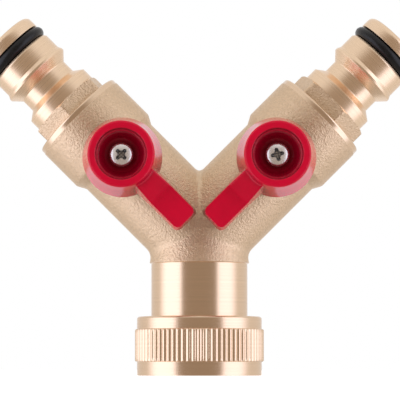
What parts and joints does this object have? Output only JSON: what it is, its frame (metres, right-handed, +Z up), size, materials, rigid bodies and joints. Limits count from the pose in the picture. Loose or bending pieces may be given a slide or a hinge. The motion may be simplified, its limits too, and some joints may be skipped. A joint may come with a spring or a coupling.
{
  "type": "hose splitter",
  "caption": "Brass Y-shaped garden hose splitter with a swivel inlet nut, lever ball valves and click-on hose nipples.",
  "frame": {"origin": "centre of the inlet nut's open face", "axes": "+Z up the inlet axis towards the arms, +X towards the right-hand arm, -Y the front with the levers"},
  "size_m": [0.101, 0.038, 0.0824],
  "materials": {
    "body_brass": "shot-blasted forging with turned ends",
    "nut_brass": "turned and knurled",
    "nipple_brass": "turned, hex flats left as forged",
    "stem_brass": "turned",
    "ball_chrome": "polished",
    "seat_ptfe": "smooth",
    "seal_rubber": "moulded",
    "lever_plastic": "moulded, glossy",
    "screw_steel": "bright zinc plated",
    "wire_steel": "spring wire"
  },
  "bodies": {
    "casting": {"splitter_body": "body_brass", "nut_retaining_ring": "wire_steel", "left_nipple": "nipple_brass", "left_nipple_o_ring": "seal_rubber", "left_inner_seat": "seat_ptfe", "left_outer_seat": "seat_ptfe", "right_nipple": "nipple_brass", "right_nipple_o_ring": "seal_rubber", "right_inner_seat": "seat_ptfe", "right_outer_seat": "seat_ptfe"},
    "inlet_nut": {"swivel_nut": "nut_brass", "inlet_gasket": "seal_rubber"},
    "left_valve": {"left_lever": "lever_plastic", "left_lever_screw": "screw_steel", "left_stem": "stem_brass", "left_stem_o_ring": "seal_rubber", "left_thrust_washer": "seat_ptfe", "left_ball": "ball_chrome"},
    "right_valve": {"right_lever": "lever_plastic", "right_lever_screw": "screw_steel", "right_stem": "stem_brass", "right_stem_o_ring": "seal_rubber", "right_thrust_washer": "seat_ptfe", "right_ball": "ball_chrome"}
  },
  "joints": [
    {"name": "nut_spin", "type": "hinge", "parent": "casting", "child": "inlet_nut", "pos_m": [0, 0, 0], "axis": [0, 0, 1], "continuous": true},
    {"name": "left_lever_turn", "type": "hinge", "parent": "casting", "child": "left_valve", "pos_m": [-0.0174, 0, 0.04924], "axis": [0, 1, 0], "range_deg": [0, 90]},
    {"name": "right_lever_turn", "type": "hinge", "parent": "casting", "child": "right_valve", "pos_m": [0.0174, 0, 0.04924], "axis": [0, -1, 0], "range_deg": [0, 90]}
  ]
}
